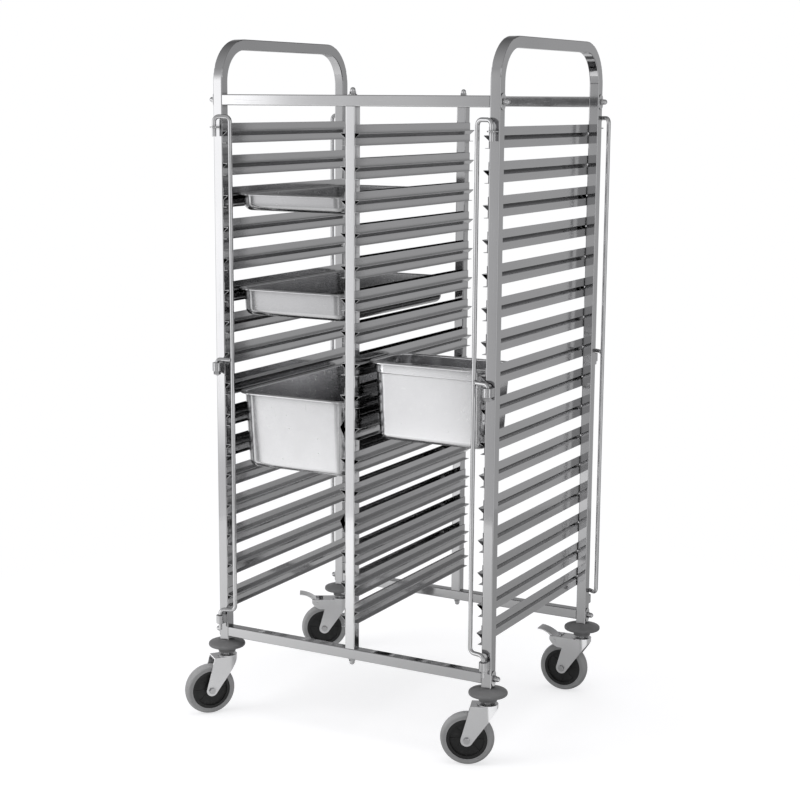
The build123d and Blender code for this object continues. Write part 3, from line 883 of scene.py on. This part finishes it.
@dataclass
class SubAssembly:
    """Pieces that belong together.

    Attributes:
        wardrobe: Where the finishes come from.
    """

    wardrobe: Wardrobe

    def refine(
        self, node: str, name: str, finish: Finish, body: str,
        width: float, segments: int = 2, angle: float = 32.0,
    ) -> None:
        """Let a copy with clean faces and rounded edges stand in for a CAD node.

        Args:
            node: Name of the CAD node.
            name: Name of the copy.
            finish: The finish it wears.
            body: Body it rides on.
            width: Width of the rounding.
            segments: Faces across each rounding.
            angle: Edges sharper than this many degrees are rounded.
        """
        piece = copy_mesh(bpy.data.objects[node], name)
        weld(piece)
        with editing(piece):
            bpy.ops.mesh.dissolve_limited(angle_limit=math.radians(0.5))
        soften(piece, width, segments, angle)
        self.wardrobe.stand_in(piece, finish, body, node)


@dataclass
class TubeFrame(SubAssembly):
    """Welded and bolted frame of square tube.

    Attributes:
        rounding: Rounding of the cut ends.
    """

    rounding: float = 0.4 * MM

    def build(self) -> None:
        """Refine the tubes."""
        for node, finish in (
            ("left_end_frame", Finish.DEEP_POST),
            ("right_end_frame", Finish.POST),
            ("front_centre_post", Finish.PALE_POST),
            ("back_centre_post", Finish.POST),
            ("front_top_rail", Finish.RAIL),
            ("back_top_rail", Finish.RAIL),
            ("front_bottom_rail", Finish.RAIL),
            ("back_bottom_rail", Finish.RAIL),
        ):
            self.refine(node, f"{node}_tube", finish, "frame", self.rounding)


@dataclass
class RunnerSets(SubAssembly):
    """Folded sheet runners.

    Attributes:
        fold: Rounding of the folds and cut edges.
        bead: Size of a weld bead.
        top: Height of the beads on the top runners.
        pitch: Step from runner to runner.
        levels: Runners in a set, without the lowest.
        face: How far from the middle the posts' inner faces stand.
    """

    fold: float = 0.45 * MM
    bead: float = 2.0 * MM
    top: float = 1420 * MM
    pitch: float = 74.6 * MM
    levels: int = 15
    face: float = 265 * MM

    def build(self) -> None:
        """Refine the four sets and weld them to the posts."""
        for node in ("left_runners", "centre_left_runners", "centre_right_runners", "right_runners"):
            self.refine(node, f"{node}_sheet", Finish.RUNNER, "frame", self.fold)
        bead = self._bead()
        upper = [self.top - self.pitch * step for step in range(self.levels)]
        for side, wall, outwards, last in (
            ("left", -345 * MM, -1, 79 * MM),
            ("centre_left", -12.5 * MM, 1, 79 * MM),
            ("centre_right", 12.5 * MM, -1, 66 * MM),
            ("right", 345 * MM, 1, 66 * MM),
        ):
            beads = []
            for height in upper + [upper[-1] - last]:
                for face in (-1, 1):
                    place = Matrix.Translation((wall, face * self.face, height))
                    beads.append(copy_mesh(bead, "bead", place @ Matrix.Diagonal((outwards, -face, 1, 1))))
            self.wardrobe.stand_in(join(f"{side}_runner_welds", beads), Finish.WELD, "frame")
        bpy.data.objects.remove(bead)

    def _bead(self) -> Piece:
        """Short weld bead that fills the corner between +X and +Y, centred on the origin.

        Returns:
            The bead.
        """
        piece = primitive("weld_bead", bpy.ops.mesh.primitive_uv_sphere_add, segments=8, ring_count=6,
                          radius=self.bead)
        with editing(piece):
            for way in ((1, 0, 0), (0, 1, 0)):
                bpy.ops.mesh.select_all(action="SELECT")
                bpy.ops.mesh.bisect(plane_co=(0, 0, 0), plane_no=way, clear_inner=True)
            bpy.ops.mesh.select_all(action="SELECT")
            bpy.ops.transform.resize(value=(1.0, 1.0, 1.3))
        smooth(piece, 60.0)
        return piece


@dataclass
class Pan(SubAssembly):
    """Food pan pressed from one sheet.

    Attributes:
        node: The pan's CAD node.
        depth: Depth from rim to floor.
        finish: The finish it wears.
        shouldered: Whether it has a stacking shoulder under the rim.
        flange: Width of the flat rim.
        drop: Height of the rim's turned edge.
        corner: Radius of the rim's corners.
        sheet: Thickness of the sheet.
        taper: Lean of the walls.
        edge: Radius over the rim's turned edge.
        mouth: Radius from the rim into the wall.
        foot: Radius from the wall into the floor.
        shoulder: Height of the stacking shoulder.
        step: Width of the step under the shoulder.
        rest: Inset of the last ring on the floor.
    """

    node: str
    depth: float
    finish: Finish = Finish.PAN
    shouldered: bool = False
    flange: float = 11.5 * MM
    drop: float = 3.5 * MM
    corner: float = 50 * MM
    sheet: float = 1 * MM
    taper: float = 3.5
    edge: float = 2.5 * MM
    mouth: float = 3.5 * MM
    foot: float = 15 * MM
    shoulder: float = 20 * MM
    step: float = 4 * MM
    rest: float = 20 * MM

    def press(self) -> list[tuple[float, float]]:
        """Steps inwards and upwards from the lower edge of the rim, over it and down to the floor.

        Returns:
            Each step as way inwards and way up.
        """
        lean = math.tan(math.radians(self.taper))
        path = [(0.0, self.drop - self.edge)] + quarter(self.edge, 5)
        path.append((self.flange + self.sheet - self.edge - self.mouth, 0.0))
        path += [(up, -across) for across, up in quarter(self.mouth, 5)]
        wall = self.depth - self.sheet - self.mouth - self.foot
        if self.shouldered:
            path.append((0.0, -self.shoulder))
            path += [(across, -up) for across, up in quarter(self.step / 2, 4)]
            path += [(up, -across) for across, up in quarter(self.step / 2, 4)]
            wall -= self.shoulder + self.step
        path += [(wall / 4 * lean, -wall / 4)] * 4
        path += [(across + up * lean, -up) for across, up in quarter(self.foot, 8)]
        path.append((self.rest, 0.0))
        return path

    def build(self) -> None:
        """Press the pan, from a flat sheet with round corners."""
        low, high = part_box(self.node)
        centre = (low + high) / 2
        piece = primitive(
            f"{self.node}_pressing", bpy.ops.mesh.primitive_plane_add, (high.x - low.x, high.y - low.y, 1.0),
            size=1.0, location=(centre.x, centre.y, high.z - self.drop),
        )
        with editing(piece, "VERT"):
            bpy.ops.mesh.bevel(offset=self.corner, segments=14, affect="VERTICES")
        with editing(piece):
            for inwards, upwards in self.press():
                bpy.ops.mesh.inset(thickness=inwards, depth=upwards, use_even_offset=True)
        modify(piece, "SOLIDIFY", thickness=self.sheet, offset=-1.0)
        smooth(piece, 40.0)
        self.wardrobe.stand_in(piece, self.finish, f"{self.node}_body", self.node)


@dataclass
class RetainingBar(SubAssembly):
    """Bent rod that keeps the pans in, with its hook, crank and middle arm.

    Attributes:
        corner: Corner of the trolley it hangs on.
        opening: How far past the post's side it stands open, in degrees, or None where it is closed.
        along: How far the long run stands from the pin along the trolley.
        beside: How far it stands from the pin across the trolley.
        hook: Height of the hook's end.
        top: Height of the top run.
        crank: Height of the bottom run.
        end: Height where the rod narrows to its journal.
        middle: Height of the middle arm.
        journal: Heights of the journal's ends.
        stud: Heights of the ends of the stud under the middle arm.
    """

    corner: Corner
    opening: float | None = None
    along: float = 38 * MM
    beside: float = 9 * MM
    hook: float = 1411 * MM
    top: float = 1457 * MM
    crank: float = 267 * MM
    end: float = 252.1 * MM
    middle: float = 886 * MM
    journal: tuple[float, float] = (253 * MM, 215 * MM)
    stud: tuple[float, float] = (858.5 * MM, 846.9 * MM)

    def _run(self) -> Vector:
        """Axis of the long run.

        Returns:
            The axis's foot on the floor.
        """
        side, face, _ = self.corner.value
        arm = math.hypot(self.along, self.beside)
        if self.opening is None:
            angle, turn = math.atan2(self.beside, self.along), -side
        else:
            angle, turn = math.radians(self.opening), side
        return self.corner.pin + Vector((turn * arm * math.cos(angle), -face * arm * math.sin(angle), 0))

    def build(self) -> None:
        """Bend the rod and weld the arm to it."""
        pin, run = self.corner.pin, self._run()
        label = self.corner.label
        route = [(pin, self.hook), (pin, self.top), (run, self.top), (run, self.crank), (pin, self.crank)]
        corners = [line + UP * height for line, height in route + [(pin, self.end)]]
        rod = bent_rod(f"{label}_rod", corners, 5 * MM, 12 * MM)
        journal = bent_rod(f"{label}_journal", [pin + UP * height for height in self.journal], 4 * MM)
        elbow = [run + UP * self.middle, pin + UP * self.middle, pin + UP * COLLAR_Z]
        arm = bent_rod(f"{label}_arm", elbow, 4.5 * MM, 8 * MM)
        stud = bent_rod(f"{label}_stud", [pin + UP * height for height in self.stud], 3.5 * MM)
        for piece in (rod, journal, stud):
            soften(piece, 0.8 * MM, 3, 50.0)
        outline = metres([(5.0, 3.2), (6.6, 3.6), (6.9, 4.6), (5.6, 6.0), (4.4, 6.6), (4.3, 3.2)])
        bead = turned(f"{label}_bead", outline, run + UP * self.middle, (pin - run).normalized(), 28)
        smooth(bead, 60.0)
        smooth(arm)
        piece = join(f"{label}_bar_rod", [rod, journal, arm, stud, bead])
        self.wardrobe.stand_in(piece, Finish.ROD, f"{label}_retainer", f"{label}_bar")


@dataclass
class Fasteners(SubAssembly):
    """Dome nuts, washers, bar nuts and the bearings of the retaining bars.

    Attributes:
        across: Width of a dome nut across its flats.
        base: Height of its hexagon.
        height: Height over the dome.
        washer: Thickness of the washer under it.
        outer: How far from the middle the posts' outer faces stand.
        rails: Heights of the rails' axes.
        under: Height of the bottom rails' undersides.
        over: Height of the top rails' upper faces.
    """

    across: float = 13 * MM
    base: float = 6 * MM
    height: float = 15 * MM
    washer: float = 2 * MM
    outer: float = 370 * MM
    rails: tuple[float, float] = (207.5 * MM, 1495.5 * MM)
    under: float = 195 * MM
    over: float = 1508 * MM

    def _hexagon(self, name: str, across: float, height: float, chamfer: float) -> Piece:
        """Hexagon standing on the origin, with its top corners turned off.

        Args:
            name: Name of the piece.
            across: Width across its flats.
            height: Its height.
            chamfer: Height of the turned corners.

        Returns:
            The hexagon.
        """
        radius = across / math.sqrt(3)
        piece = primitive(name, bpy.ops.mesh.primitive_cylinder_add, vertices=6, radius=radius, depth=height,
                          location=(0, 0, height / 2))
        with editing(piece):
            pick(piece, "faces", lambda face: face.normal.z > 0.9)
            bpy.ops.mesh.inset(thickness=chamfer * 1.7, depth=0)
        top, rim = height - 0.1 * MM, radius - 0.1 * MM
        with editing(piece, "VERT"):
            pick(piece, "verts", lambda point: point.co.z > top and point.co.xy.length > rim)
            bpy.ops.transform.translate(value=(0, 0, -chamfer))
        soften(piece, 0.25 * MM, 2, 20.0)
        return piece

    def _dome_nut(self) -> Piece:
        """One dome nut standing on its washer face at the origin.

        Returns:
            The nut.
        """
        radius = self.across / 2 - 0.3 * MM
        start = self.height - radius
        angles = [math.radians(10 * step) for step in range(9)]
        curve = [(radius * math.cos(angle), start + radius * math.sin(angle)) for angle in angles]
        inside, floor = 0.2 * MM, 2 * MM
        sides = [(inside, floor), (radius, floor), (radius, start - 0.5 * MM)]
        dome = turned("dome", sides + curve + [(inside, self.height)], ORIGIN, UP, 36)
        smooth(dome, 50.0)
        return join("dome_nut", [self._hexagon("hexagon", self.across, self.base, 0.8 * MM), dome])

    def _nut_places(self) -> list[Matrix]:
        """Where the dome nuts stand: beside the end posts, and over and under the centre posts.

        Returns:
            Turn and shift of each nut.
        """
        aside = self.outer + self.washer
        spots = [
            (side * aside, face, height, side * 90, "Y")
            for side in (-1, 1) for face in (-1, 1) for height in self.rails
        ]
        for face in (-1, 1):
            spots.append((0, face, self.under - self.washer, 180, "X"))
            spots.append((0, face, self.over + self.washer, 0, "X"))
        return [
            Matrix.Translation((across, face * POST_Y, height)) @ Matrix.Rotation(math.radians(turn), 4, axis)
            for across, face, height, turn, axis in spots
        ]

    def build(self) -> None:
        """Make the nuts and refine the washers and bearings."""
        pattern = self._dome_nut()
        nuts = [copy_mesh(pattern, "nut", place) for place in self._nut_places()]
        bpy.data.objects.remove(pattern)
        self.wardrobe.stand_in(join("dome_nuts_turned", nuts), Finish.FASTENER, "frame", "dome_nuts")
        for node, finish, width in (
            ("oval_washers", Finish.FASTENER, 0.6 * MM),
            ("round_washers", Finish.FASTENER, 0.5 * MM),
            ("bar_top_tabs", Finish.BRACKET, 0.5 * MM),
            ("bar_middle_bushes", Finish.BRACKET, 0.9 * MM),
            ("bar_bottom_bushes", Finish.BRACKET, 0.9 * MM),
            ("caster_heads", Finish.ZINC, 0.5 * MM),
        ):
            self.refine(node, f"{node}_rounded", finish, "frame", width, 3)
        for corner in Corner:
            label = corner.label
            nut = self._hexagon(f"{label}_nut", 15 * MM, 9 * MM, 1.0 * MM)
            collar = Matrix.Translation(corner.pin + UP * COLLAR_Z)
            nut.data.transform(collar @ Matrix.Rotation(math.pi, 4, "X"))
            self.wardrobe.stand_in(nut, Finish.FASTENER, f"{label}_retainer", f"{label}_bar_nut")


@dataclass
class Bumpers(SubAssembly):
    """Grey discs under the posts.

    Attributes:
        outline: Radius and height of each point of a disc's outline, in millimetres.
        steps: Faces round a disc.
    """

    outline: Pairs = (
        (6.3, 185.0), (17.4, 185.0), (18.4, 184.6), (40.5, 177.6), (42.6, 177.0), (43.9, 176.0),
        (44.7, 174.6), (45.0, 172.5), (45.0, 172.0), (44.6, 169.9), (43.4, 168.6), (41.8, 168.0),
        (38.0, 168.0), (36.8, 169.2), (23.0, 169.2), (21.6, 168.6), (21.0, 167.4), (21.0, 154.2),
        (20.4, 153.2), (6.3, 153.0),
    )
    steps: int = 72

    def build(self) -> None:
        """Turn one disc and copy it to the four corners."""
        pattern = turned("bumper", metres(self.outline), ORIGIN, UP, self.steps)
        smooth(pattern, 38.0)
        discs = [copy_mesh(pattern, "disc", Matrix.Translation(corner.axis)) for corner in Corner]
        bpy.data.objects.remove(pattern)
        piece = join("corner_bumpers_moulded", discs)
        self.wardrobe.stand_in(piece, Finish.BUMPER, "frame", "corner_bumpers")


@dataclass
class Caster(SubAssembly):
    """Swivel caster: pressed fork, wheel and, at the back, a foot brake.

    Attributes:
        corner: Corner of the trolley it carries.
        trail: How far the axle stands behind the king pin.
        radius: Radius of the wheel.
        tyre: Radius and height of half the tyre's outline, from its seat to the mould line, in millimetres.
        steps: Faces round the tyre.
    """

    corner: Corner
    trail: float = 46 * MM
    radius: float = 62.5 * MM
    tyre: Pairs = (
        (47.5, 15.0), (50.2, 15.0), (50.7, 14.5), (51.6, 14.5), (52.1, 15.0), (55.6, 15.0), (56.9, 14.6),
        (57.95, 13.75), (58.8, 12.7), (59.85, 11.1), (61.0, 8.0), (61.8, 4.5), (62.15, 0.7), (62.45, 0.35),
    )
    steps: int = 96

    @property
    def along(self) -> Vector:
        """Direction in which the wheel trails."""
        turn = math.radians(self.corner.value[2])
        return Vector((math.cos(turn), math.sin(turn), 0))

    @property
    def across(self) -> Vector:
        """Direction of the axle."""
        return Vector((self.along.y, -self.along.x, 0))

    @property
    def centre(self) -> Vector:
        """Centre of the wheel."""
        return self.corner.axis + self.along * self.trail + UP * self.radius

    def build(self) -> None:
        """Make the tyre and refine the pressed and turned pieces."""
        label = self.corner.label
        wheel, caster = f"{label}_wheel", f"{label}_caster"
        self._tyre()
        self.refine(f"{label}_hub", f"{label}_hub_moulded", Finish.HUB, wheel, 0.7 * MM, 3)
        self.refine(f"{label}_fork", f"{label}_fork_pressed", Finish.ZINC, caster, 0.9 * MM, 3, 24.0)
        for node in (f"{label}_axle_bolt", f"{label}_axle_nut"):
            self.refine(node, f"{node}_chamfered", Finish.FASTENER, caster, 0.7 * MM)
        if self.corner.braked:
            pedal = f"{label}_brake_pedal"
            self.refine(pedal, f"{label}_pedal_pressed", Finish.ZINC, f"{label}_brake", 0.8 * MM, 3)

    def _tyre(self) -> None:
        """Solid tyre with round shoulders, a groove in each side and a fine mould line round the tread."""
        label = self.corner.label
        outline = list(self.tyre) + [(radius, -height) for radius, height in reversed(self.tyre)]
        tyre = turned(f"{label}_tyre_moulded", metres(outline), self.centre, self.across, self.steps)
        smooth(tyre, 45.0)
        self.wardrobe.stand_in(tyre, Finish.TYRE, f"{label}_wheel", f"{label}_tyre")


def main() -> None:
    """Dress the trolley."""
    logging.basicConfig(level=logging.INFO, format="%(message)s")
    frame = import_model()
    wardrobe = Wardrobe(Effects())
    Studio().build()
    TubeFrame(wardrobe).build()
    RunnerSets(wardrobe).build()
    Fasteners(wardrobe).build()
    Bumpers(wardrobe).build()
    for corner, opening in zip(Corner, (None, None, 16.0, 33.0)):
        RetainingBar(wardrobe, corner, opening).build()
        Caster(wardrobe, corner).build()
    Pan(wardrobe, "shallow_pan", 40 * MM, Finish.SHALLOW_PAN).build()
    Pan(wardrobe, "medium_pan", 65 * MM, Finish.MEDIUM_PAN).build()
    Pan(wardrobe, "deep_pan", 185 * MM, Finish.PAN).build()
    Pan(wardrobe, "shouldered_pan", 185 * MM, Finish.BRIGHT_PAN, shouldered=True).build()
    for node, finish in (
        ("rail_end_plugs", Finish.PLUG),
        ("centre_post_plugs", Finish.PLUG),
        ("caster_plugs", Finish.PLUG),
        ("frame_bolts", Finish.FASTENER),
    ):
        wardrobe.wear(frame["nodes"][node], finish)
        log.info("%s: CAD node with %s", node, finish.value.name)


if __name__ == "__main__":
    main()
